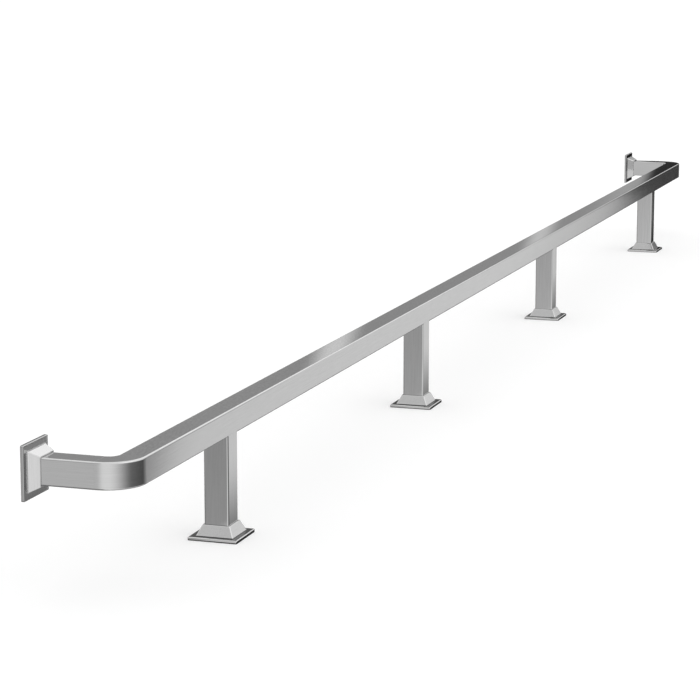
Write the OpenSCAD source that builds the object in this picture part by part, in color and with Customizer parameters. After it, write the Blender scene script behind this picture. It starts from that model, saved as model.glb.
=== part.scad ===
// Bar foot rail in square stainless tube: a straight rail on four posts, turned back to the wall at both ends.
// X runs along the rail, +Y points at the wall, Z is up. The origin is on the floor, at the middle of the outline.

/* [Rail] */
// Distance between the centre lines of the two wall returns
rail_span = 3780; // [3000:10:4200]
// Height of the top of the rail above the floor
rail_top = 190.5; // [175:0.5:230]
// Distance from the centre line of the rail to the wall
wall_reach = 130; // [120:1:180]
// Places of the posts, as shares of the span
post_shares = [0.093, 0.353, 0.614, 0.9];

/* [Tube] */
// Outer side of the square tube
tube_w = 38.1; // [37:0.1:40]
// Wall of the tube
tube_wall = 1.5; // [1.2:0.1:2]
// Outer corner radius of the tube
tube_r = 2.5; // [2.2:0.1:3]

/* [Elbows] */
// Centre line radius of the corner elbows
elbow_r = 33; // [30:1:45]
// Length of the spigot that enters a tube
spigot_l = 26; // [18:1:36]
// Wall of the spigots of the elbows and of the flange stubs
spigot_wall = 3; // [2.4:0.1:4]
// Clearance between a spigot and the inside of the tube
spigot_gap = 0.1; // [0.05:0.05:0.2]
// Diameter of the grub screws in the elbow spigots
grub_d = 6; // [5:0.5:8]

/* [Flanges] */
// Side of the square floor and wall plates
plate_w = 76.2; // [72:0.2:90]
// Thickness of the plates
plate_t = 5; // [4:0.5:7]
// Radius of the rounded outer edge of a plate
plate_edge_r = 1.4; // [0.8:0.1:2]
// Corner radius of a plate in plan
plate_corner_r = 1.8; // [1:0.1:4]
// How far the middle of a fixing hole lies outside the faces of the tube
hole_reach = 4.45; // [4:0.05:5]
// Diameter of a fixing hole
hole_d = 5.5; // [4.5:0.1:6]
// Diameter of the countersink of a fixing hole
sink_d = 9.6; // [8:0.1:10]
// Height of the stub that a tube slides over
stub_h = 32; // [24:1:45]

/* [Covers] */
// How far the foot of a cover stands out from the tube
cover_reach = 9.95; // [9.5:0.05:12]
// How far the lip of a cover stands out from the tube
cover_rim = 2.25; // [2:0.05:3.5]
// Height of a cover
cover_h = 15.8; // [14:0.1:20]
// Height of the upright skirt at the foot of a cover
cover_skirt = 1.1; // [0.6:0.1:2]
// Sheet thickness of a cover
cover_wall = 1.2; // [0.8:0.1:1.4]
// Corner radius of a cover in plan
cover_r = 1.6; // [1.2:0.1:2.4]
// Height of the softened edge round the lip
cover_edge = 0.6; // [0.3:0.1:0.8]
// Clearance between the lip and the tube
cover_gap = 0.3; // [0.2:0.05:0.5]

/* [Screws] */
// Diameter of the screw that holds a post to the rail
rail_screw_d = 8; // [6:0.5:10]
// Diameter of the screw that holds a tube on its stub
stub_screw_d = 5; // [4:0.5:6]
// Height of the block in the top of a post
plug_h = 18; // [14:1:25]
// Clearance between the nut plate and the side walls inside the rail
nut_play = 2.55; // [0.5:0.05:4]
// Thickness of the nut plate
nut_t = 6; // [5:0.5:9]

/* [Hidden] */

// Arcs of the tube and of drilled holes
$fn = 48;
// Arcs inside the hulls of a cover
cover_fn = 20;
// Overrun of every cut
over = 1;
// Radial play of a screw in its tapped hole
thread_gap = 0.05;
// Radial play of a screw in a clearance hole
pass_gap = 0.3;
// Gap between the coped top of a post and the rail
cope_gap = 0.05;
// How far the coped horns of a post climb the corner of the rail, as a share of the corner radius
cope_share = 0.6;
// Least inner corner radius of a tube
inner_r = 0.8;
// Screw heads: width and height as shares of the thread diameter
cap_w_share = 1.625;
cap_h_share = 1;
button_w_share = 1.9;
button_h_share = 0.55;
// Hexagon socket: width and depth as shares of the thread diameter
hex_w_share = 0.6;
hex_h_share = 0.5;
// How far a rail screw stands out of its nut plate
screw_tip = 2;
// Length of a grub screw
grub_l = 5;
// How far a grub screw sits below the face of the tube
grub_sink = 0.2;

tube_in = tube_w - 2 * tube_wall;
spigot_w = tube_in - 2 * spigot_gap;
spigot_r = max(tube_r - tube_wall, inner_r) - spigot_gap / 2;
nut_w = tube_in - 2 * nut_play;
hole_pitch = tube_w + 2 * hole_reach;
cover_base = tube_w + 2 * cover_reach;
cover_lip = tube_w + 2 * cover_rim;
rail_z = rail_top - tube_w / 2;
rail_bottom = rail_top - tube_w;
rail_y = (plate_w / 2 - wall_reach) / 2;
wall_y = rail_y + wall_reach;
left_x = -rail_span / 2;
straight_l = rail_span - 2 * elbow_r;
return_l = wall_reach - elbow_r - plate_t;
post_x = [for (share = post_shares) left_x + share * rail_span];
post_top = rail_bottom - cope_gap;
// Level of the screw through a tube and its stub, above the plate
stub_screw_z = plate_t + stub_screw_d;
stub_screw_l = tube_wall + spigot_gap + spigot_wall;
rail_screw_l = plug_h + cope_gap + tube_wall + nut_t + screw_tip;
grub_z = rail_bottom + grub_sink;

module rounded_square(w, r) {
    d = w / 2 - r;
    square([w, 2 * d], center = true);
    square([2 * d, w], center = true);
    for (x = [-d, d], y = [-d, d])
        translate([x, y]) circle(r);
}

module tube_section(w, wall, r, bore_r) {
    difference() {
        rounded_square(w, r);
        rounded_square(w - 2 * wall, bore_r);
    }
}

module square_tube(l) {
    linear_extrude(l) tube_section(tube_w, tube_wall, tube_r, max(tube_r - tube_wall, inner_r));
}

module spigot(l) {
    linear_extrude(l) tube_section(spigot_w, spigot_wall, spigot_r, inner_r);
}

// Frames: a flange is drawn with its mounting face at zero and its tube along +Z.
module on_floor(i) {
    translate([post_x[i], rail_y, 0]) children();
}

module on_wall(side) {
    translate([side * left_x, wall_y, rail_z]) rotate([90, 0, 0]) children();
}

// The left corner is drawn, and the right one is its mirror image.
module at_corner(side) {
    mirror([side > 0 ? 0 : 1, 0, 0])
        translate([left_x + elbow_r, rail_y + elbow_r, rail_z]) children();
}

// Screws point along +Z from the seat of the head at zero.
module socket_screw(d, l, w_share, h_share) {
    head_w = w_share * d;
    head_h = h_share * d;
    difference() {
        union() {
            translate([0, 0, -head_h]) cylinder(d = head_w, h = head_h);
            cylinder(d = d, h = l);
        }
        translate([0, 0, -head_h - over])
            cylinder(d = hex_w_share * d, h = hex_h_share * head_h + over, $fn = 6);
    }
}

module drill(d, gap, l) {
    cylinder(r = d / 2 + gap, h = l, center = true);
}

// Places of the grub screws: one under each end of the rail and one under each return.
module at_grubs(side) {
    mirror([side > 0 ? 0 : 1, 0, 0]) {
        translate([left_x + elbow_r + spigot_l / 2, rail_y, grub_z]) children();
        translate([left_x, rail_y + elbow_r + spigot_l / 2, grub_z]) children();
    }
}

// Place of the screw through a tube and its stub: on the wall side of a post and under a return.
module at_stub_screw(side) {
    translate([0, side * tube_w / 2, stub_screw_z]) rotate([side * 90, 0, 0]) children();
}

module rail_tube() color("lightgray") {
    difference() {
        translate([-straight_l / 2, rail_y, rail_z]) rotate([90, 0, 90]) square_tube(straight_l);
        for (i = [0:3])
            translate([post_x[i], rail_y, rail_bottom]) drill(rail_screw_d, pass_gap, 4 * tube_wall);
        for (side = [1, -1])
            at_grubs(side) drill(grub_d, thread_gap, 4 * tube_wall);
    }
}

module elbow(side) color("lightgray") {
    elbow_wall = tube_wall + spigot_gap + spigot_wall;
    difference() {
        at_corner(side) {
            rotate(180) rotate_extrude(angle = 90)
                translate([elbow_r, 0]) tube_section(tube_w, elbow_wall, tube_r, inner_r);
            translate([0, -elbow_r, 0]) rotate([90, 0, 90]) spigot(spigot_l);
            translate([-elbow_r, 0, 0]) rotate([-90, 0, 0]) spigot(spigot_l);
        }
        at_grubs(side) drill(grub_d, thread_gap, 4 * elbow_wall);
    }
}

module wall_return(side) color("lightgray") {
    difference() {
        on_wall(side) difference() {
            translate([0, 0, plate_t]) square_tube(return_l);
            at_stub_screw(-1) drill(stub_screw_d, pass_gap, 4 * tube_wall);
        }
        at_grubs(side) drill(grub_d, thread_gap, 4 * tube_wall);
    }
}

// The top is coped, so that its front and back horns climb the round lower corners of the rail.
module post_tube(i) color("lightgray") {
    on_floor(i) difference() {
        translate([0, 0, plate_t]) square_tube(rail_bottom + cope_share * tube_r - plate_t);
        translate([-tube_w / 2 - over, 0, rail_z]) rotate([90, 0, 90])
            linear_extrude(tube_w + 2 * over)
                rounded_square(tube_w + 2 * cope_gap, tube_r + cope_gap);
        at_stub_screw(1) drill(stub_screw_d, pass_gap, 4 * tube_wall);
    }
}

module post_plug(i) color("gray") {
    on_floor(i) difference() {
        translate([0, 0, post_top - plug_h]) linear_extrude(plug_h) rounded_square(spigot_w, spigot_r);
        translate([0, 0, post_top - plug_h / 2]) drill(rail_screw_d, pass_gap, 2 * plug_h);
    }
}

module nut_plate(i) color("gray") {
    on_floor(i) translate([0, 0, rail_bottom + tube_wall]) difference() {
        linear_extrude(nut_t) rounded_square(nut_w, tube_r);
        drill(rail_screw_d, thread_gap, 4 * nut_t);
    }
}

module edge_cutter(l, r) {
    rotate([90, 0, 0]) linear_extrude(l, center = true) difference() {
        square(r + over);
        circle(r);
    }
}

module flange_plate() {
    spread = hole_pitch / 2;
    sink_h = (sink_d - hole_d) / 2;
    difference() {
        linear_extrude(plate_t) rounded_square(plate_w, plate_corner_r);
        for (turn = [0:90:270])
            rotate(turn) translate([plate_w / 2 - plate_edge_r, 0, plate_t - plate_edge_r])
                edge_cutter(plate_w + 2 * over, plate_edge_r);
        for (x = [-spread, spread], y = [-spread, spread])
            translate([x, y, 0]) {
                drill(hole_d, 0, 4 * plate_t);
                translate([0, 0, plate_t - sink_h]) cylinder(d1 = hole_d, d2 = sink_d, h = sink_h);
            }
    }
}

module flange_stub(screw_side) {
    difference() {
        translate([0, 0, plate_t]) spigot(stub_h);
        at_stub_screw(screw_side) drill(stub_screw_d, thread_gap, 4 * stub_screw_l);
    }
}

// One level of a cover's outer or inner form: a thin rounded square of side w, whose top is at height z.
module cover_level(w, z, r) {
    slice = cover_wall / 4;
    translate([0, 0, z - slice]) linear_extrude(slice) rounded_square(w, r, $fn = cover_fn);
}

module flange_cover() {
    slope = (cover_base - cover_lip) / (cover_h - cover_skirt);
    inner_base = cover_base - 2 * cover_wall;
    inner_top = cover_h - cover_wall;
    hole_w = tube_w + 2 * cover_gap;
    inner_lip = max(cover_base - slope * (inner_top - cover_skirt) - 3 * cover_wall, hole_w);
    difference() {
        hull() {
            cover_level(cover_base, cover_wall / 4, cover_r);
            cover_level(cover_base, cover_skirt, cover_r);
            cover_level(cover_lip + slope * cover_edge / 2, cover_h - cover_edge, cover_r);
            cover_level(cover_lip - cover_edge, cover_h, cover_r);
        }
        hull() {
            cover_level(inner_base, 0, cover_r);
            cover_level(inner_base, cover_skirt, cover_r);
            cover_level(inner_lip, inner_top, cover_r);
        }
        linear_extrude(cover_h + over) rounded_square(hole_w, tube_r + cover_gap);
    }
}

module floor_plate(i) color("silver") on_floor(i) flange_plate();
module floor_stub(i) color("gray") on_floor(i) flange_stub(1);
module floor_cover(i) color("gainsboro") on_floor(i) translate([0, 0, plate_t]) flange_cover();
module wall_plate(side) color("silver") on_wall(side) flange_plate();
module wall_stub(side) color("gray") on_wall(side) flange_stub(-1);
module wall_cover(side) color("gainsboro") on_wall(side) translate([0, 0, plate_t]) flange_cover();

module rail_screws() color("dimgray") {
    for (i = [0:3])
        on_floor(i) translate([0, 0, post_top - plug_h])
            socket_screw(rail_screw_d, rail_screw_l, cap_w_share, cap_h_share);
}

module stub_screw(screw_side) {
    at_stub_screw(screw_side) socket_screw(stub_screw_d, stub_screw_l, button_w_share, button_h_share);
}

module post_screws() color("dimgray") {
    for (i = [0:3])
        on_floor(i) stub_screw(1);
}

module return_screws() color("dimgray") {
    for (side = [1, -1])
        on_wall(side) stub_screw(-1);
}

module elbow_screws() color("dimgray") {
    for (side = [1, -1])
        at_grubs(side) difference() {
            cylinder(d = grub_d, h = grub_l);
            translate([0, 0, -over]) cylinder(d = hex_w_share * grub_d, h = hex_h_share * grub_l + over, $fn = 6);
        }
}

rail_tube();
elbow(1);  // left_elbow
elbow(-1);  // right_elbow
wall_return(1);  // left_return
wall_return(-1);  // right_return
for (i = [0:3]) {
    post_tube(i);
    post_plug(i);
    nut_plate(i);
    floor_plate(i);
    floor_stub(i);
    floor_cover(i);
}
wall_plate(1);  // left_wall_plate
wall_plate(-1);  // right_wall_plate
wall_stub(1);  // left_wall_stub
wall_stub(-1);  // right_wall_stub
wall_cover(1);  // left_wall_cover
wall_cover(-1);  // right_wall_cover
rail_screws();
post_screws();
return_screws();
elbow_screws();
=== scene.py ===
# %% [markdown]
# # A bar foot rail in square stainless tube
#
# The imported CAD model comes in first. It is the fixed frame: every piece below takes its size and its place
# from it, and nothing in it is moved. What this file adds is what a CAD model leaves out, which is edges that
# catch the light, the brushed finish of each piece and a studio for the metal to reflect.

# %% Load the frame
import math

import bmesh
import bpy
from mathutils import Matrix, Vector


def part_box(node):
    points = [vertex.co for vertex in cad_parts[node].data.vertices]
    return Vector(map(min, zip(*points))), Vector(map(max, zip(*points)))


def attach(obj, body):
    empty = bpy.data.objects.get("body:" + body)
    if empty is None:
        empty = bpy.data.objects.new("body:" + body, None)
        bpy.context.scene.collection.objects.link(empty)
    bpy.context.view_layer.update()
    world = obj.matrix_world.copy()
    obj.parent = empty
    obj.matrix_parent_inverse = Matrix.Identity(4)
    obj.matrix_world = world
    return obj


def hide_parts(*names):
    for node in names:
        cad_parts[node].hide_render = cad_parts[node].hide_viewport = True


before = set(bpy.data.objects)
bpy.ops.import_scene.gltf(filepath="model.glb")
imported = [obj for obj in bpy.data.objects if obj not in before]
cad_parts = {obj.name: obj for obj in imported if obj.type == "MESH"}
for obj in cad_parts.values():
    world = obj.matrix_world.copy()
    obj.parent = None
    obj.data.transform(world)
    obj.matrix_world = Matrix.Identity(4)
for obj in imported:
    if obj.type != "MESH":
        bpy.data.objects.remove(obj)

scene = bpy.context.scene
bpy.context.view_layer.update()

# %% [markdown]
# ## Measure the frame
#
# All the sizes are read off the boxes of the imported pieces, so that the dressed model keeps to the CAD by
# itself. Only what a box can't tell, such as a corner radius, is a number here.

# %% Sizes from the frame
mm = 0.001


def middle(node):
    """The middle of a CAD piece's box."""
    low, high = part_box(node)
    return (low + high) / 2


def extent(node):
    """The length of each side of a CAD piece's box."""
    low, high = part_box(node)
    return high - low


POSTS = (1, 2, 3, 4)
SIDES = {"left": -1, "right": 1}
rail_y, rail_z = middle("rail_tube").y, middle("rail_tube").z
tube_w = extent("rail_tube").z
tube_wall = 1.5 * mm
tube_corner = 2.5 * mm
bore_corner = 1.0 * mm
spigot_w = extent("floor_stub_1").x
spigot_wall = 3.0 * mm
spigot_bore = spigot_w - 2 * spigot_wall
spigot_corner = 0.95 * mm
spigot_bore_corner = 0.8 * mm
return_x = middle("right_return").x
elbow_r = return_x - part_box("rail_tube")[1].x
rail_half = extent("rail_tube").x / 2
spigot_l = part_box("left_elbow")[1].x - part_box("rail_tube")[0].x
wall_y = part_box("left_wall_plate")[1].y
plate_w, plate_t = extent("floor_plate_1").x, extent("floor_plate_1").z
cover_w, cover_h = extent("floor_cover_1").x, extent("floor_cover_1").z
post_x = {i: middle(f"post_tube_{i}").x for i in POSTS}
print(f"tube {tube_w / mm:.1f} mm, elbow radius {elbow_r / mm:.1f} mm, plate {plate_w / mm:.1f} mm")

# %% [markdown]
# ## The camera
#
# The camera comes early, because it decides how much detail each piece is worth. It stands low beyond the
# near end of the rail and looks almost along it with a long lens, so the far end stays readable. The place
# and the two angles come from matching the corners of plates, posts and rail to the photograph.

# %% Camera
SENSOR_W = 36.0
IMAGE_W = 700
focal_pixels = 2471.7
camera_place = Vector((-4.7970, -1.3205, 0.9291))
camera_turn = 0.3192
camera_dip = 0.1848

camera_data = bpy.data.cameras.new("camera")
camera_data.sensor_width = SENSOR_W
camera_data.lens = SENSOR_W * focal_pixels / IMAGE_W
camera = bpy.data.objects.new("camera", camera_data)
camera.location = camera_place
camera.rotation_euler = (math.pi / 2 - camera_dip, 0, camera_turn - math.pi / 2)
scene.collection.objects.link(camera)
scene.camera = camera
print(f"lens {camera_data.lens:.1f} mm, {camera_place.length:.2f} m from the origin")

# %% [markdown]
# ## A short way to write shaders
#
# Every finish here is a small sum of patterns. The nodes could be placed one by one, as in the shader editor,
# but then the sum can't be read. So a class wraps a socket, and a sum is written as plain arithmetic. One
# method adds any other node: its kind, its settings, and what goes into its sockets.

# %% Shader helpers


class Wire:
    """The output of a node. Arithmetic on it adds Math nodes."""

    def __init__(self, board, socket):
        self.board = board
        self.socket = socket

    def maths(self, operation, *others):
        return self.board.node("ShaderNodeMath", {"operation": operation}, [self, *others])

    def __add__(self, other):
        return self.maths("ADD", other)

    def __sub__(self, other):
        return self.maths("SUBTRACT", other)

    def __rsub__(self, other):
        return self.board.node("ShaderNodeMath", {"operation": "SUBTRACT"}, [other, self])

    def __mul__(self, other):
        return self.maths("MULTIPLY", other)

    __radd__ = __add__
    __rmul__ = __mul__


class Board:
    """A node tree that is filled from Python."""

    def __init__(self, tree):
        self.tree = tree
        tree.nodes.clear()

    def node(self, kind, settings=None, sockets=None, out=0):
        made = self.tree.nodes.new(kind)
        for name, value in (settings or {}).items():
            setattr(made, name, value)
        pairs = sockets.items() if isinstance(sockets, dict) else enumerate(sockets or [])
        for key, value in pairs:
            if isinstance(value, Wire):
                self.tree.links.new(value.socket, made.inputs[key])
            else:
                made.inputs[key].default_value = value
        return Wire(self, made.outputs[out]) if made.outputs else None

    def step(self, value, low, high):
        """0 below low, 1 above high, and a smooth rise between them."""
        settings = {"interpolation_type": "SMOOTHSTEP"}
        return self.node("ShaderNodeMapRange", settings, {"Value": value, "From Min": low, "From Max": high})

    def window(self, value, opens, closes):
        """1 between two soft edges. Each edge is given by where it begins and where it ends."""
        return self.step(value, *opens) * (1 - self.step(value, *closes))

    def noise(self, place, detail=2.0, roughness=0.5):
        """Soft noise from 0 to 1 with features about one unit wide."""
        sockets = {"Vector": place, "Scale": 1.0, "Detail": detail, "Roughness": roughness}
        return self.node("ShaderNodeTexNoise", None, sockets)

    def scaled(self, place, scale):
        return self.node("ShaderNodeMapping", None, {"Vector": place, "Scale": scale})


def new_material(name):
    """A material with an empty board of nodes."""
    material = bpy.data.materials.new(name)
    material.use_nodes = True
    return material, Board(material.node_tree)


print("shader sums are written with", Wire.__name__, "and", Board.__name__)

# %% [markdown]
# ## Brushed steel
#
# A belt sander runs along each tube and leaves scratches a few tenths of a millimetre wide and a hand long.
# They could be an anisotropic shader, but that only smears the gloss and shows no scratch. Here they are a
# noise pattern, squeezed across the tube and stretched along it, which goes into the colour, the roughness
# and a very shallow bump, so the gloss stays long and clean along the tube. Wider bands and a slow cloud keep
# a long tube from looking printed, and shoes leave small scuffs on top of the rail. Each direction is its own
# material, and on an elbow the pattern is bent round the centre of the bend.

# %% Brushed steel
SCRATCH_W = 0.35 * mm
SCRATCH_L = 90 * mm
SCRATCH_DEPTH = 0.0022 * mm
BAND_W = 1.8 * mm
BAND_L = 35 * mm
CLOUD = 60 * mm
SCUFF_W = 2.5 * mm
SCUFF_L = 8 * mm
SCUFF_BELOW = 1.2 * mm
SCUFF_ROUGH = 0.04
TONE_SHARES = (0.35, 0.16, 0.10)
ROUGH_SHARES = (0.04, 0.03, 0.02)


def steel(name, level, gloss, along, bend=None, scratch=1.0, depth=1.0, edge=1.0, scuff=0.0):
    """A brushed steel of that level of grey and that roughness.

    Its scratches run along an axis, or round the bend centre that is given. The edge is how much of the
    light it keeps at a glancing angle.
    """
    material, board = new_material(name)
    place = board.node("ShaderNodeTexCoord", None, None, "Object")
    parts = board.node("ShaderNodeSeparateXYZ", None, [place])
    x, y, z = (Wire(board, socket) for socket in parts.socket.node.outputs)
    if bend:
        x, y = x.maths("ABSOLUTE") - bend[0], y - bend[1]
        reach = (x * x + y * y).maths("SQRT")
        turn = board.node("ShaderNodeMath", {"operation": "ARCTAN2"}, [y, x])
        place = board.node("ShaderNodeCombineXYZ", None, [turn * elbow_r, reach, z])
        along = 0

    def lines(width, length):
        return [1 / length if axis == along else 1 / width for axis in range(3)]

    fine = board.noise(board.scaled(place, lines(SCRATCH_W, SCRATCH_L)), 3.0, 0.6) - 0.5
    bands = board.noise(board.scaled(place, lines(BAND_W, BAND_L))) - 0.5
    cloud = board.noise(board.scaled(place, [1 / CLOUD] * 3)) - 0.5

    def mixed(shares):
        return shares[0] * fine + shares[1] * bands + shares[2] * cloud

    tone = level * (1 + scratch * mixed(TONE_SHARES))
    rough = gloss + scratch * mixed(ROUGH_SHARES)
    if scuff:
        scuffs = board.noise(board.scaled(place, lines(SCUFF_W, SCUFF_L)), 1.0) - 0.5
        on_top = board.step(z, rail_z + tube_w / 2 - SCUFF_BELOW, rail_z + tube_w / 2)
        tone = tone * (1 + scuff * on_top * scuffs)
        rough = rough + SCUFF_ROUGH * on_top * scuffs
    bump = board.node("ShaderNodeBump", None,
                      {"Strength": 1.0, "Distance": SCRATCH_DEPTH * depth, "Height": fine})
    shader = board.node("ShaderNodeBsdfPrincipled", None,
                        {"Base Color": tone, "Roughness": rough, "Metallic": 1.0, "Normal": bump,
                         "Specular Tint": (edge, edge, edge, 1)})
    board.node("ShaderNodeOutputMaterial", None, {"Surface": shader})
    return material


TUBE_LEVEL, TUBE_GLOSS = 0.62, 0.055
bend_centre = (return_x - elbow_r, rail_y + elbow_r)
steel_x = steel("brushed_along_x", TUBE_LEVEL, TUBE_GLOSS, 0, scratch=0.8, scuff=0.55)
steel_y = steel("brushed_along_y", TUBE_LEVEL, TUBE_GLOSS, 1, scratch=0.55, scuff=0.25)
steel_z = steel("brushed_along_z", TUBE_LEVEL, TUBE_GLOSS, 2, scratch=0.8)
steel_bend = steel("brushed_round_bend", TUBE_LEVEL, TUBE_GLOSS, 0, bend_centre, scratch=0.55, scuff=0.25)
print("tubes:", steel_x.name, steel_y.name, steel_z.name, steel_bend.name)

# %% [markdown]
# ## Plates, covers and screws
#
# The other pieces are the same steel with another surface: a cover is satin from the press, and what nobody
# sees is left as machined. The plates are lit and shaded copies of that steel, with light and shade painted
# into their colour. On a floor plate the flat face is rougher and darker, painted shade, and the rolled edge
# smoother and lighter, painted light. On a wall plate the edge is darker, painted shade, and the face is
# lighter head-on and darker at a glancing angle, painted light and shade. Floor plates and wall plates differ
# on the face and on the edge, because their margins have different tones in the photograph. On a real rail
# they are the same steel.

# %% Other finishes
# Floor plate edge: a lighter copy of the steel, painted light.
plate_edge_steel_painted_light = steel("plate_edge_painted_light", 0.70, 0.07, 0, scratch=0.6)
# Floor plate face: a darker copy of the steel, painted shade.
plate_face_steel_painted_shade = steel("plate_face_painted_shade", 0.30, 0.12, 0, edge=0.5)
# Wall plate edge: a darker copy of the steel, painted shade.
wall_plate_edge_steel_painted_shade = steel("wall_plate_edge_painted_shade", 0.46, 0.08, 2, scratch=0.6)
# Wall plate face: lighter head-on and darker at a glancing angle, painted light and shade.
wall_plate_face_steel_painted_light_and_shade = steel("wall_plate_face_painted_light_and_shade", 0.80, 0.05, 2, edge=0.15)
cover_steel = steel("satin_cover", 0.66, 0.10, 0, scratch=0.7)
wall_cover_steel = steel("satin_wall_cover", 0.66, 0.10, 2, scratch=0.7)
inner_steel = steel("machined_steel", 0.42, 0.32, 2, scratch=1.6, depth=2.0)
screw_steel = steel("screw_steel", 0.5, 0.24, 2, scratch=1.2)
print("finishes:", ", ".join(material.name for material in bpy.data.materials if material.use_nodes))

# %% [markdown]
# ## Pieces from rings
#
# A tube, an elbow and a pressed cover are all the same thing to a modeller: a closed wall whose section is a
# rounded square that changes along a path. Modifiers could make each of them in its own way, with a Bevel and
# a Solidify, but then each has its own faults. So one helper lays a rounded square outline anywhere in space,
# by bevelling the corners of a square, and another extrudes it from station to station and gives it the width
# and the corner of each. The last station is the first one again, and the two are merged. A rim is two
# stations a hair apart, which is where a real cut edge catches the light.

# %% Rounded squares from station to station
CORNER_STEPS = 6


def outline(bm, width, corner, place):
    """The edges of a rounded square of that width, laid flat in the frame of the matrix place."""
    square = bmesh.ops.create_grid(bm, x_segments=1, y_segments=1, size=width / 2)["verts"]
    arcs = bmesh.ops.bevel(bm, geom=square, affect="VERTICES", offset=corner, segments=CORNER_STEPS,
                           profile=0.5, material=-1)
    corner_faces = {face for vert in arcs["verts"] for face in vert.link_faces}
    (sheet,) = corner_faces
    bmesh.ops.transform(bm, matrix=place, verts=list(sheet.verts))
    edges = list(sheet.edges)
    bmesh.ops.delete(bm, geom=[sheet], context="FACES_ONLY")
    return edges


def far_ring(geometry):
    """The edges and corners that an extrusion made at its far end."""
    verts = {item for item in geometry if isinstance(item, bmesh.types.BMVert)}
    edges = [item for item in geometry
             if isinstance(item, bmesh.types.BMEdge) and verts.issuperset(item.verts)]
    return edges, verts


def grow(bm, edges, stations):
    """Extrudes an outline that lies at the first station through all the others."""
    for (width, corner, place), (new_width, new_corner, new_place) in zip(stations, stations[1:]):
        made = bmesh.ops.extrude_edge_only(bm, edges=edges)["geom"]
        edges, verts = far_ring(made)
        flatten = place.inverted()
        for vert in verts:
            flat = flatten @ vert.co
            for axis in (0, 1):
                core = math.copysign(width / 2 - corner, flat[axis])
                new_core = math.copysign(new_width / 2 - new_corner, flat[axis])
                flat[axis] = new_core + (flat[axis] - core) * new_corner / corner
            vert.co = new_place @ flat
    return edges


def closed_wall(stations):
    """A closed wall through outlines (width, corner, matrix), from the last one back to the first."""
    bm = bmesh.new()
    grow(bm, outline(bm, *stations[0]), stations + stations[:1])
    return bm


def up(height):
    return Matrix.Translation((0, 0, height))


print(f"each corner has {CORNER_STEPS} steps")

# %% [markdown]
# ## Drilling and sawing
#
# Screw holes and the coped tops of the posts are cut out with a boolean, as a drill or a saw would. It could
# be left on the piece as a modifier, but then its cutter has to stay in the scene. So the cut is made on two
# passing objects, and only the result is kept. An extrusion lists its new faces in another order each run,
# and a boolean depends on that order, so every mesh is put in order first.

# %% Cuts
MERGE = 0.01 * mm


def put_in_order(items, key):
    for number, item in enumerate(sorted(items, key=key)):
        item.index = number
    items.sort()


def corner_numbers(item):
    return sorted(vert.index for vert in item.verts)


def tidy(bm):
    """Merges doubles, puts the mesh in the order of its places and turns all faces outwards."""
    bmesh.ops.remove_doubles(bm, verts=bm.verts, dist=MERGE)
    put_in_order(bm.verts, lambda vert: tuple(vert.co))
    put_in_order(bm.edges, corner_numbers)
    put_in_order(bm.faces, corner_numbers)
    bmesh.ops.recalc_face_normals(bm, faces=bm.faces)


def cut(bm, cutters):
    """Cuts the closed meshes in cutters out of bm, as a drill or a cope saw would."""
    work = []
    for source in (bm, cutters):
        tidy(source)
        mesh = bpy.data.meshes.new("cut")
        source.to_mesh(mesh)
        source.free()
        work.append(bpy.data.objects.new("cut", mesh))
        scene.collection.objects.link(work[-1])
    boolean = work[0].modifiers.new("cut", "BOOLEAN")
    boolean.operation, boolean.solver, boolean.object = "DIFFERENCE", "EXACT", work[1]
    shape = work[0].evaluated_get(bpy.context.evaluated_depsgraph_get())
    result = bmesh.new()
    result.from_mesh(shape.to_mesh())
    shape.to_mesh_clear()
    for piece in work:
        mesh = piece.data
        bpy.data.objects.remove(piece)
        bpy.data.meshes.remove(mesh)
    return result


def at(x, y, z):
    return Matrix.Translation((x, y, z))


def laid(bm, matrix):
    """Moves a mesh to its place."""
    bmesh.ops.transform(bm, matrix=matrix, verts=bm.verts)
    return bm


def drill(radius, length, place, sides=32):
    """A round bar along Z of the matrix place, centred there."""
    bm = bmesh.new()
    bmesh.ops.create_cone(bm, cap_ends=True, segments=sides, radius1=radius, radius2=radius, depth=length,
                          matrix=place)
    return bm


def gather(parts):
    """One bmesh with the faces of all the parts."""
    whole = bmesh.new()
    for part in parts:
        mesh = bpy.data.meshes.new("part")
        part.to_mesh(mesh)
        part.free()
        whole.from_mesh(mesh)
        bpy.data.meshes.remove(mesh)
    return whole


print(f"points closer than {MERGE / mm:.2f} mm are merged")

# %% [markdown]
# ## Finishing a piece
#
# Each piece ends in the same way. Its doubles are merged and its faces turned out, flat faces stay flat and
# rounded ones smooth, and it is told which body it rides on and which CAD pieces it stands for. The print
# says whether the mesh is closed and how its volume compares with the CAD.

# %% From mesh to piece
SHARP_ANGLE = math.radians(32)


def cad_volume(node):
    """The volume of a CAD piece, from a copy of its mesh."""
    bm = bmesh.new()
    bm.from_mesh(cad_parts[node].data)
    volume = bm.calc_volume()
    bm.free()
    return volume


def finish_piece(name, bm, material, body, slot, *nodes):
    """Makes the mesh an object with smooth faces and crisp edges, on its body, in place of its CAD nodes."""
    tidy(bm)
    for face in bm.faces:
        face.smooth = True
    volume = bm.calc_volume()
    open_edges = sum(len(edge.link_faces) != 2 for edge in bm.edges)
    mesh = bpy.data.meshes.new(name)
    bm.to_mesh(mesh)
    bm.free()
    mesh.set_sharp_from_angle(angle=SHARP_ANGLE)
    for finish in material if isinstance(material, list) else [material]:
        mesh.materials.append(finish)
    piece = bpy.data.objects.new(name, mesh)
    scene.collection.objects.link(piece)
    shading = piece.modifiers.new("flat_faces_stay_flat", "WEIGHTED_NORMAL")
    shading.keep_sharp = True
    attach(piece, body)
    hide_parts(*nodes)
    share = volume / sum(cad_volume(node) for node in nodes)
    print(f"{name}: {len(mesh.polygons)} faces, {open_edges} open edges, {share:.4f} of the CAD volume")
    return piece


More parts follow.
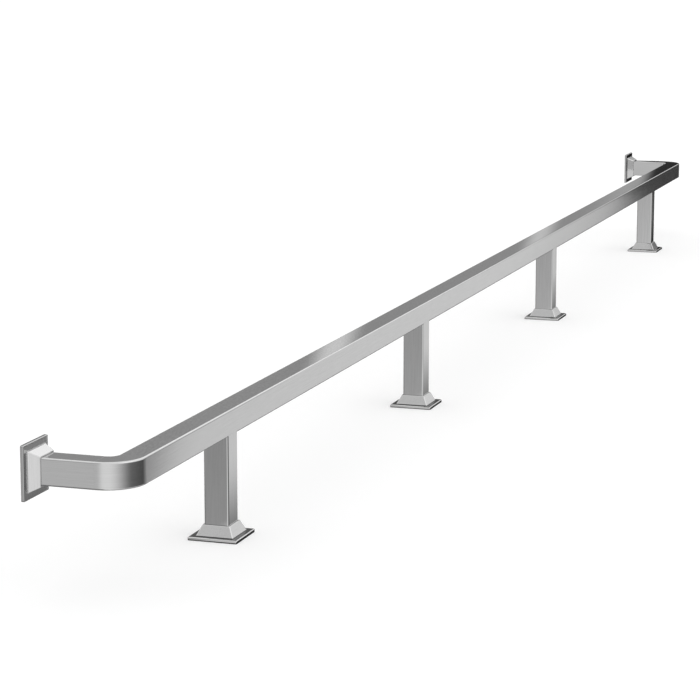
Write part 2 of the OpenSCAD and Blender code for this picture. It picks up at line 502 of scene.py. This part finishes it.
print(f"edges over {math.degrees(SHARP_ANGLE):.0f} degrees stay sharp")

# %% [markdown]
# ## The straight tubes
#
# Rail, returns and posts are one section of tube, cut to length. It could be drawn along a curve with a
# profile, but a straight tube is six outlines. The saw leaves a crisp end, which is broken by a tenth of a
# millimetre: enough to draw the hairline where the tube meets an elbow.

# %% Straight tube
RIM = 0.12 * mm
X_AHEAD = Matrix(((0, 0, 1), (1, 0, 0), (0, 1, 0))).to_4x4()
Y_AHEAD = Matrix(((1, 0, 0), (0, 0, 1), (0, -1, 0))).to_4x4()
TO_FRONT = Matrix.Rotation(math.pi / 2, 4, "X")


def square_tube(length):
    """A tube that stands on zero along +Z, with broken ends and its bore."""
    bore = tube_w - 2 * tube_wall
    worn = (tube_w - 2 * RIM, tube_corner - RIM)
    return closed_wall([(tube_w, tube_corner, up(RIM)), (tube_w, tube_corner, up(length - RIM)),
                        (*worn, up(length)), (bore, bore_corner, up(length)), (bore, bore_corner, up(0)),
                        (*worn, up(0))])


print(f"saw cuts are broken by {RIM / mm:.2f} mm")

# %% [markdown]
# ## Rail and its screw holes
#
# The rail is held from inside: a screw comes up through each post, and a grub screw under each end locks the
# spigot of the elbow. The holes are cut out with a boolean, which is the honest way to drill a curved or a
# bevelled wall, and they are all in the lower wall, where the photograph doesn't look.

# %% Rail
GRUB_R = 3.05 * mm
RAIL_SCREW_R = 4.3 * mm
STUB_SCREW_R = 2.8 * mm
DRILL_L = 4 * tube_wall
rail_bottom = rail_z - tube_w / 2
grub_inset = spigot_l / 2
grub_rail_x = rail_half - grub_inset
grub_return_y = rail_y + elbow_r + grub_inset

rail_holes = [drill(GRUB_R, DRILL_L, at(side * grub_rail_x, rail_y, rail_bottom)) for side in SIDES.values()]
rail_holes += [drill(RAIL_SCREW_R, DRILL_L, at(x, rail_y, rail_bottom)) for x in post_x.values()]
rail = laid(square_tube(2 * rail_half), at(-rail_half, rail_y, rail_z) @ X_AHEAD)
finish_piece("rail", cut(rail, gather(rail_holes)), steel_x, "frame", "brushed_tube", "rail_tube")

# %% [markdown]
# ## Wall returns
#
# Each return is a short length of the same tube between the elbow and the wall plate. It has two holes
# below: one for the grub screw of the elbow and one, under the cover, for the screw into the stub.

# %% Returns
stub_screw_reach = middle("post_screws").z
return_l = extent("left_return").y
for name, side in SIDES.items():
    x = side * return_x
    tube = laid(square_tube(return_l), at(x, wall_y - plate_t, rail_z) @ Y_AHEAD.inverted())
    holes = [drill(GRUB_R, DRILL_L, at(x, grub_return_y, rail_bottom)),
             drill(STUB_SCREW_R, DRILL_L, at(x, wall_y - stub_screw_reach, rail_bottom))]
    finish_piece(f"{name}_wall_return", cut(tube, gather(holes)), steel_y, "frame", "brushed_tube",
                 f"{name}_return")

# %% [markdown]
# ## Posts
#
# A post stands under the rail and its top is coped, so that the front and back walls climb the round lower
# corners of the rail and the faces run into each other. The edge could be drawn point by point, but a cut
# follows the radius by itself: a bar with the section of the rail, a little larger, is taken out of the post.

# %% Posts
COPE_GAP = 0.05 * mm
for i in POSTS:
    low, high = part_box(f"post_tube_{i}")
    tube = laid(square_tube(high.z - low.z + tube_corner), at(post_x[i], rail_y, low.z))
    cope_w, cope_corner = tube_w + 2 * COPE_GAP, tube_corner + COPE_GAP
    across = at(post_x[i] - tube_w, rail_y, rail_z) @ X_AHEAD
    bar = bmesh.new()
    ends = [(cope_w, cope_corner, across @ up(reach)) for reach in (0, 2 * tube_w)]
    grow(bar, outline(bar, *ends[0]), ends)
    bmesh.ops.holes_fill(bar, edges=bar.edges, sides=0)
    hole = drill(STUB_SCREW_R, DRILL_L, at(post_x[i], rail_y + tube_w / 2, stub_screw_reach) @ TO_FRONT)
    finish_piece(f"post_{i}", cut(tube, gather([bar, hole])), steel_z, "frame", "brushed_tube",
                 f"post_tube_{i}")

# %% [markdown]
# ## Elbows
#
# The corner is a casting with the outer section of the tube and a spigot at each end that slides into it.
# Bend and spigots could be three parts, joined by booleans, but one outline makes it all with no seam. It
# steps down over the shoulder, runs out along a spigot and back through its bore, is spun a quarter turn,
# does the same at the other end and is spun back. The right elbow is the left one mirrored.

# %% Elbows
BEND_STEPS = 32
SPIGOT_DRILL_L = 4 * (spigot_wall + tube_wall)


def spun(bm, edges, turn):
    """Spins an outline round the bend, and gives the edges of the last outline."""
    verts = list({vert for edge in edges for vert in edge.verts})
    last = bmesh.ops.spin(bm, geom=verts + edges, cent=(-bend_centre[0], bend_centre[1], 0), axis=(0, 0, 1),
                          angle=turn, steps=BEND_STEPS)["geom_last"]
    return [item for item in last if isinstance(item, bmesh.types.BMEdge)]


def elbow():
    """The left elbow: one wall that runs out along each spigot, back through its bore and round the bend."""
    quarter = -math.pi / 2
    start = at(-bend_centre[0], rail_y, rail_z) @ X_AHEAD
    end = (at(-bend_centre[0], bend_centre[1], 0) @ Matrix.Rotation(quarter, 4, "Z")
           @ at(bend_centre[0], -bend_centre[1], 0) @ start)
    shape = [(tube_w, tube_corner, 0),
             (tube_w - 2 * RIM, tube_corner - RIM, RIM),
             (spigot_w, spigot_corner, RIM),
             (spigot_w, spigot_corner, spigot_l - RIM),
             (spigot_w - 2 * RIM, spigot_corner - RIM, spigot_l),
             (spigot_bore, spigot_bore_corner, spigot_l),
             (spigot_bore, spigot_bore_corner, 0)]
    bm = bmesh.new()
    out = [(width, corner, start @ up(reach)) for width, corner, reach in shape]
    back = [(width, corner, end @ up(-reach)) for width, corner, reach in reversed(shape)]
    ring = grow(bm, outline(bm, *out[0]), out)
    ring = grow(bm, spun(bm, ring, quarter), back)
    spun(bm, ring, -quarter)
    return bm


for name, side in SIDES.items():
    bm = elbow()
    if side > 0:
        bmesh.ops.scale(bm, vec=(-1, 1, 1), verts=bm.verts)
    holes = [drill(GRUB_R, SPIGOT_DRILL_L, at(side * grub_rail_x, rail_y, rail_bottom)),
             drill(GRUB_R, SPIGOT_DRILL_L, at(side * return_x, grub_return_y, rail_bottom))]
    finish_piece(f"{name}_corner", cut(bm, gather(holes)), steel_bend, "frame", "brushed_tube",
                 f"{name}_elbow")

# %% [markdown]
# ## Flange plates
#
# A plate is a square of thick sheet whose outer edge is rolled over, which gives the bright line round each
# foot. It could be stacked from outlines too, but a bevelled cube is shorter: first its upright corners, then
# the whole upper rim. The four countersunk holes lie under the cover and show when it is lifted. The flat
# face and the rest of the plate get two copies of the steel, with light and shade painted into their colour.

# %% Plates
HAIR = RIM / 10
PLATE_CORNER = 1.8 * mm
PLATE_EDGE = 1.4 * mm
HOLE_R = 2.75 * mm
SINK_R = 4.8 * mm
HOLE_PITCH = 47 * mm


def turned(profile, steps=40):
    """A solid of revolution round Z from its (radius, height) profile, closed with flat ends."""
    bm = bmesh.new()
    line = [(0, profile[0][1]), *profile, (0, profile[-1][1])]
    verts = [bm.verts.new((radius, 0, height)) for radius, height in line]
    edges = [bm.edges.new(pair) for pair in zip(verts, verts[1:])]
    bmesh.ops.spin(bm, geom=verts + edges, cent=(0, 0, 0), axis=(0, 0, 1), angle=2 * math.pi, steps=steps,
                   use_merge=True)
    return bm


def round_off(bm, edges, radius, steps):
    bmesh.ops.bevel(bm, geom=edges, affect="EDGES", offset=radius, segments=steps, profile=0.5, material=-1)


def flange_plate():
    """A plate that lies on zero, with its rounded edge up."""
    bm = bmesh.new()
    plate_box = Matrix.Diagonal((plate_w, plate_w, plate_t, 1))
    bmesh.ops.create_cube(bm, size=1, matrix=up(plate_t / 2) @ plate_box)
    upright = [edge for edge in bm.edges if abs(edge.verts[0].co.z - edge.verts[1].co.z) > plate_t / 2]
    round_off(bm, upright, PLATE_CORNER, 5)
    for height, radius, steps in ((plate_t, PLATE_EDGE, 6), (0, RIM, 1)):
        rim = [edge for edge in bm.edges if all(abs(vert.co.z - height) < HAIR for vert in edge.verts)]
        round_off(bm, rim, radius, steps)
    countersink = [(HOLE_R, -plate_t), (HOLE_R, plate_t - (SINK_R - HOLE_R)), (SINK_R, plate_t),
                   (SINK_R, 2 * plate_t)]
    tools = [laid(turned(countersink), at(x, y, 0)) for x in (-HOLE_PITCH / 2, HOLE_PITCH / 2)
             for y in (-HOLE_PITCH / 2, HOLE_PITCH / 2)]
    plate = cut(bm, gather(tools))
    for face in plate.faces:
        # The flat face takes the second finish: painted shade on a floor plate, painted light and shade on a
        # wall plate.
        face.material_index = int(face.calc_center_median().z > plate_t - HAIR)
    return plate


on_floor = {i: at(post_x[i], rail_y, 0) for i in POSTS}
on_wall = {name: at(side * return_x, wall_y, rail_z) @ TO_FRONT for name, side in SIDES.items()}
# Each plate gets an edge finish and a face finish with light and shade painted into their colour.
for i in POSTS:
    finish_piece(f"floor_flange_{i}", laid(flange_plate(), on_floor[i]), [plate_edge_steel_painted_light, plate_face_steel_painted_shade],
                 "frame", "plate", f"floor_plate_{i}")
for name in SIDES:
    finish_piece(f"{name}_wall_flange", laid(flange_plate(), on_wall[name]),
                 [wall_plate_edge_steel_painted_shade, wall_plate_face_steel_painted_light_and_shade], "frame", "plate", f"{name}_wall_plate")

# %% [markdown]
# ## Pressed covers
#
# A cover is drawn from thin sheet: a low upright skirt, four sloping sides with soft hips, and a lip that
# closes on the tube. It is loose, and slides along the tube to reach the screws. A Solidify modifier could
# give the sheet its thickness, but the lip and the rolled foot have their own inside. So the wall is a row of
# outlines again, up the outside and down the inside.

# %% Covers
SKIRT = 1.1 * mm
SHEET = 1.2 * mm
LIP_W = 42.6 * mm
LIP_SOFT = 0.6 * mm
LIP_ROUND = 0.35 * LIP_SOFT
LIP_REACH = 3 * SHEET
COVER_CORNER = 1.6 * mm
TUBE_GAP = 0.3 * mm
HEM = 0.2 * mm
BEAD = 0.7 * mm
BEAD_STEPS = 4


def flange_cover():
    """A cover that stands on zero round the Z axis."""
    foot = cover_w - 2 * BEAD
    slope = (foot - LIP_W) / (cover_h - SKIRT)
    top = cover_h - SHEET
    mouth, mouth_corner = tube_w + 2 * TUBE_GAP, tube_corner + TUBE_GAP
    under_lip = max(foot - slope * (top - SKIRT) - LIP_REACH, mouth)
    bead = [(cover_w - BEAD * (1 - math.cos(t)), COVER_CORNER, SKIRT - BEAD / 2 * (1 - math.sin(t))) for t in
            (math.pi / 2 * step / BEAD_STEPS for step in range(BEAD_STEPS + 1))]
    outside = [(cover_w - 2 * HEM, COVER_CORNER, 0), (cover_w, COVER_CORNER, HEM), *bead,
               (foot, COVER_CORNER, SKIRT + BEAD / 8),
               (LIP_W + slope * LIP_SOFT, COVER_CORNER, cover_h - LIP_SOFT),
               (LIP_W - LIP_ROUND, COVER_CORNER, cover_h - LIP_ROUND),
               (LIP_W - LIP_SOFT, COVER_CORNER, cover_h)]
    inner = [(mouth, mouth_corner, cover_h), (mouth, mouth_corner, top), (under_lip, COVER_CORNER, top),
             (foot - 2 * SHEET, COVER_CORNER, SKIRT), (cover_w - 2 * SHEET, COVER_CORNER, 0)]
    return closed_wall([(width, corner, up(height)) for width, corner, height in outside + inner])


for i in POSTS:
    finish_piece(f"foot_cover_{i}", laid(flange_cover(), on_floor[i] @ up(plate_t)), cover_steel,
                 f"floor_cover_{i}", "cover", f"floor_cover_{i}")
for name in SIDES:
    finish_piece(f"{name}_end_cover", laid(flange_cover(), on_wall[name] @ up(plate_t)), wall_cover_steel,
                 f"{name}_wall_cover", "cover", f"{name}_wall_cover")

# %% [markdown]
# ## Button-head screws
#
# The button-head screws sit on the backs of the posts and under the returns, inside the covers. They could
# stay the plain cylinders of the CAD, but a lifted cover shows them, so they get their dome and a hexagon
# socket. A half outline is spun round the axis of the screw and the socket is cut out.

# %% Screws
SCREW_R = 2.5 * mm
HEAD_R = 4.75 * mm
HEAD_H = 2.75 * mm
SOCKET_R = 1.5 * mm
SCREW_L = 4.6 * mm
DOME_STEPS = 8


def button_screw():
    """A button-head screw whose head sits on zero and points down -Z, with its shank along +Z."""
    dome = [(HEAD_R * math.cos(t), -HEAD_H * math.sin(t)) for t in
            (math.pi / 2 * step / DOME_STEPS for step in range(DOME_STEPS, 0, -1))]
    bm = turned(dome + [(HEAD_R, 0), (SCREW_R, 0), (SCREW_R, SCREW_L - RIM), (SCREW_R - RIM, SCREW_L)])
    return cut(bm, drill(SOCKET_R / math.cos(math.pi / 6), HEAD_H, up(-HEAD_H), 6))


post_screw_places = [at(x, rail_y + tube_w / 2, stub_screw_reach) @ TO_FRONT for x in post_x.values()]
return_screw_places = [at(side * return_x, wall_y - stub_screw_reach, rail_bottom) for side in SIDES.values()]
finish_piece("post_fixing_screws", gather([laid(button_screw(), place) for place in post_screw_places]),
             screw_steel, "frame", "screw", "post_screws")
finish_piece("return_fixing_screws", gather([laid(button_screw(), place) for place in return_screw_places]),
             screw_steel, "frame", "screw", "return_screws")

# %% [markdown]
# ## Inner pieces
#
# Stubs, plugs, nut plates and the screws inside the tubes stay hidden in every pose, so modelling them again
# would add nothing. They keep their CAD form and only get a finish.

# %% Finishes of the pieces that keep their CAD form
for name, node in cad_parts.items():
    if node.hide_render:
        continue
    node.data.materials.clear()
    node.data.materials.append(screw_steel if "screw" in name else inner_steel)
    print(f"{name} keeps its CAD form")

# %% [markdown]
# ## The studio
#
# Polished metal has no look of its own: it shows the room. The room could be built from lamps and flags, but
# drawn in the world it is soft, casts no hard shadow and stays put in every view. It is a dim ground with
# cards of light in three bands of height. A card has a middle azimuth, a half width and a soft edge, all in
# degrees, and a brightness. Azimuth 0 is along the rail, away from the camera. Places, widths and levels were
# tuned by comparing the render with the photograph, so this light suits the main view best.

# %% A card in the world
world = bpy.data.worlds.new("studio")
world.use_nodes = True
scene.world = world
sky = Board(world.node_tree)
ray = sky.node("ShaderNodeTexCoord", None, None, "Generated")
ray_parts = sky.node("ShaderNodeSeparateXYZ", None, [ray])
ray_x, ray_y, ray_z = (Wire(sky, socket) for socket in ray_parts.socket.node.outputs)
azimuth = sky.node("ShaderNodeMath", {"operation": "ARCTAN2"}, [ray_y, ray_x]) * math.degrees(1)
height = ray_z.maths("ARCSINE") * math.degrees(1)


def card(level, centre, half, soft, brightness, above=None, below=None):
    """Lays a soft-edged upright card over the light level, between the heights above and below if given."""
    off = (azimuth - centre).maths("WRAP", 180.0, -180.0).maths("ABSOLUTE")
    cover = 1 - sky.step(off, half - soft, half + soft)
    if above:
        cover = cover * sky.step(height, *above)
    if below:
        cover = cover * (1 - sky.step(height, *below))
    return level + cover * (brightness - level)


def room(ground, cards):
    """Lays cards over the ground, one after the other."""
    for values in cards:
        ground = card(ground, *values)
    return ground


print("a card has a middle, a half width and a soft edge, in degrees, and a brightness")

# %% [markdown]
# ## The three bands
#
# The camera looks down, so the upright faces of the rail and the posts mirror the lowest band. The top of the
# rail mirrors the middle one: its three narrow cards are lighter streaks across the rail, and a dark card
# ends it at the far corner. Slopes and rounded edges mirror the high band, which is white. The last card lies
# over the bands and is the bright line along the front upper edge of the rail.

# %% Studio light
DARK_LEAN = -0.9
DARK_TURN = 7.1
dark_middle = (height + DARK_TURN).maths("MAXIMUM", 0.0) * DARK_LEAN
low_cards = [
    (90, 62, 30, 0.3),
    (-125, 45, 40, 0.2),
    (-88, 58, 10, 0.55, None, (-18.5, -15.5)),
    (-88, 50, 10, 0.7, (-12.5, -11.2)),
    (-167, 41.5, 38, 0.98),
    (156, 14, 12, 0.65),
    (136, 8, 3, 0.95, (-8, -7)),
    (-24, 11, 11, 0.33),
    (-16, 6.75, 0.6, 0.785),
    (0, 12.9, 2.2, 0.52),
    (dark_middle, 11.85, 0.5, 0.06),
]
level_cards = [
    (-99.5, 85.0, 2.5, 0.86),
    (25, 5, 1.5, 0.34),
    (11.9, 0.5, 0.6, 0.40),
    (18.65, 0.42, 0.35, 0.72),
    (13.85, 0.28, 0.26, 0.62),
    (-0.3, 11.7, 0.2, 0.03),
    (-6, 8, 3, 1.2, (8, 10)),
    (-12.6, 1.6, 0.4, 0.12, None, (6, 7.5)),
]
high_cards = [
    (-10, 105, 60, 1.20),
    (158, 14, 8, 0.68),
]
ARRIS_CARD = (-98, 24, 8, 1.9, (29, 32), (41, 44))
LOW_GROUND, LEVEL_GROUND, HIGH_GROUND, OVERHEAD = 0.10, 0.31, 1.0, 1.05
LEVEL_RISE, HIGH_RISE, OVERHEAD_RISE = (0.0, 4.0), (16.0, 19.0), (48.0, 60.0)

level = room(LOW_GROUND, low_cards)
level = level + sky.step(height, *LEVEL_RISE) * (room(LEVEL_GROUND, level_cards) - level)
level = level + sky.step(height, *HIGH_RISE) * (room(HIGH_GROUND, high_cards) - level)
level = level + sky.step(height, *OVERHEAD_RISE) * (OVERHEAD - level)
level = card(level, *ARRIS_CARD)
light = sky.node("ShaderNodeBackground", None, {"Color": level, "Strength": 1.0})
sky.node("ShaderNodeOutputWorld", None, {"Surface": light})
print(len(low_cards) + len(level_cards) + len(high_cards) + 1, "cards")

# %% [markdown]
# ## The floor
#
# The floor is one pale plane that takes the soft shadow of the rail. A little light of its own, for camera
# rays only, brings it to white. It could be mirrored in the steel as a real floor is, but then the front of
# the rail and the posts turn nearly white, which they aren't in the photograph. So glossy rays don't see the
# floor, and the lowest band of the room stands in for it.

# %% Floor
FLOOR_R = 60.0
FLOOR_TONE = 0.94
FLOOR_LIFT = 0.08
RAY_KINDS = ("camera", "diffuse", "glossy", "transmission", "volume_scatter", "shadow")


def stage_piece(name, bm, material):
    """A piece of the studio, which isn't part of the object."""
    mesh = bpy.data.meshes.new(name)
    bm.to_mesh(mesh)
    bm.free()
    mesh.materials.append(material)
    piece = bpy.data.objects.new(name, mesh)
    scene.collection.objects.link(piece)
    return piece


def seen_only_by(piece, kind):
    """Hides a stage piece from all rays but one kind."""
    for other in RAY_KINDS:
        setattr(piece, f"visible_{other}", other == kind)


pale, board = new_material("pale_floor")
matt = board.node("ShaderNodeBsdfDiffuse", None, {"Color": (FLOOR_TONE, FLOOR_TONE, FLOOR_TONE, 1)})
seen_directly = board.node("ShaderNodeLightPath", None, None, "Is Camera Ray")
haze = board.node("ShaderNodeEmission", None, {"Strength": FLOOR_LIFT * seen_directly})
surface = board.node("ShaderNodeAddShader", None, [matt, haze])
board.node("ShaderNodeOutputMaterial", None, {"Surface": surface})
disc = bmesh.new()
bmesh.ops.create_circle(disc, cap_ends=True, segments=96, radius=FLOOR_R)
floor = stage_piece("floor", disc, pale)
floor.visible_glossy = False
print("a floor of", 2 * FLOOR_R, "m")

# %% [markdown]
# ## Painted shadow in the steel
#
# Where the floor isn't mirrored, the steel loses the floor's shadow round the feet too. A flat black sheet
# just above the floor, seen by glossy rays only, puts back a painted shadow. Along the rail and across it,
# soft steps open and close each dark window: one in front of every foot, one close round every plate, and one
# behind the rail that grows to the near end. Their sizes were tuned to the tones of the photograph, so this
# darkening is drawn, and not a shadow worked out from the light.

# %% Contact shade
SHEET_UP = 0.2 * mm
SHEET_HALF = (2.5, 0.5)
FRONT_DARK, CONTACT_DARK = 0.85, 0.95
BEHIND_DARK, BEHIND_FADE = 0.18, -0.11
FRONT_ALONG = (-46 * mm, -36 * mm), (450 * mm, 700 * mm)
FRONT_ACROSS = (-30 * mm, -5 * mm), (-60 * mm, 190 * mm)
CONTACT_ALONG = (-46 * mm, -41.5 * mm), (48 * mm, 56 * mm)
CONTACT_ACROSS = (-42 * mm, -39 * mm), (43 * mm, 46 * mm)
BEHIND_ALONG = -2.4, -2.2
BEHIND_ACROSS = (-330 * mm, -250 * mm), (-50 * mm, -20 * mm)

# A black sheet of painted shadow, seen by glossy rays only.
dusk, board = new_material("contact_shade")
spot = board.node("ShaderNodeSeparateXYZ", None, [board.node("ShaderNodeTexCoord", None, None, "Object")])
spot_x, spot_y, _ = (Wire(board, socket) for socket in spot.socket.node.outputs)
ahead = rail_y - tube_w / 2 - spot_y
from_axis = rail_y - spot_y
beside = [spot_x - x for x in post_x.values()]
front_x = sum(board.window(off, *FRONT_ALONG) for off in beside)
in_front = board.window(ahead, *FRONT_ACROSS) * front_x * FRONT_DARK
contact_x = sum(board.window(off, *CONTACT_ALONG) for off in beside)
contact = board.window(from_axis, *CONTACT_ACROSS) * contact_x * CONTACT_DARK
behind = board.window(ahead, *BEHIND_ACROSS) * board.step(spot_x, *BEHIND_ALONG)
behind = behind * (BEHIND_DARK + BEHIND_FADE * spot_x)
dark = behind.maths("MAXIMUM", in_front).maths("MAXIMUM", contact)
clear = board.node("ShaderNodeBsdfTransparent")
black = board.node("ShaderNodeEmission", None, {"Color": (0, 0, 0, 1)})
surface = board.node("ShaderNodeMixShader", None, [dark, clear, black])
board.node("ShaderNodeOutputMaterial", None, {"Surface": surface})
sheet = bmesh.new()
bmesh.ops.create_grid(sheet, x_segments=1, y_segments=1, size=1,
                      matrix=at(0, rail_y, SHEET_UP) @ Matrix.Diagonal((*SHEET_HALF, 1, 1)))
shade = stage_piece("contact_shade", sheet, dusk)
seen_only_by(shade, "glossy")
print("dark ground under", len(beside), "feet")

# %% [markdown]
# ## The backdrop
#
# The room that lights the steel isn't what should stand behind it. A large white dome is seen by the camera
# alone, and takes no part in the light.

# %% Backdrop
white, board = new_material("white_backdrop")
board.node("ShaderNodeOutputMaterial", None,
           {"Surface": board.node("ShaderNodeEmission", None, {"Color": (1, 1, 1, 1)})})
ball = bmesh.new()
bmesh.ops.create_uvsphere(ball, u_segments=48, v_segments=24, radius=0.98 * FLOOR_R)
dome = stage_piece("backdrop", ball, white)
seen_only_by(dome, "camera")
scene.view_settings.view_transform = "Standard"
print("view transform:", scene.view_settings.view_transform)
